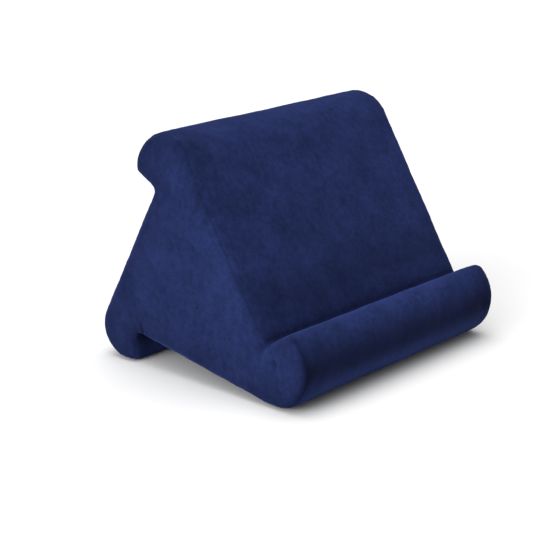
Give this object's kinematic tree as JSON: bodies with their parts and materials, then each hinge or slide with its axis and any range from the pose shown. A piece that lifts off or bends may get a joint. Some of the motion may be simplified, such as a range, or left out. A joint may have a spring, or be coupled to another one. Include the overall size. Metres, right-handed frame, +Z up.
{
  "type": "tablet pillow",
  "caption": "Soft wedge cushion with a roll at each corner of its outline; a slanted face and a front ledge hold a book or a flat screen at a reading angle.",
  "frame": {"origin": "on the surface the cushion stands on, under the middle of its box", "axes": "+X along the width, to the right as the reader sees it; +Y to the back, away from the reader; +Z up"},
  "size_m": [0.278, 0.2548, 0.222],
  "materials": {
    "velvet_cover": "short-pile navy velvet, matt with a soft sheen"
  },
  "bodies": {
    "root": {"reading_pillow": "velvet_cover"}
  },
  "joints": []
}
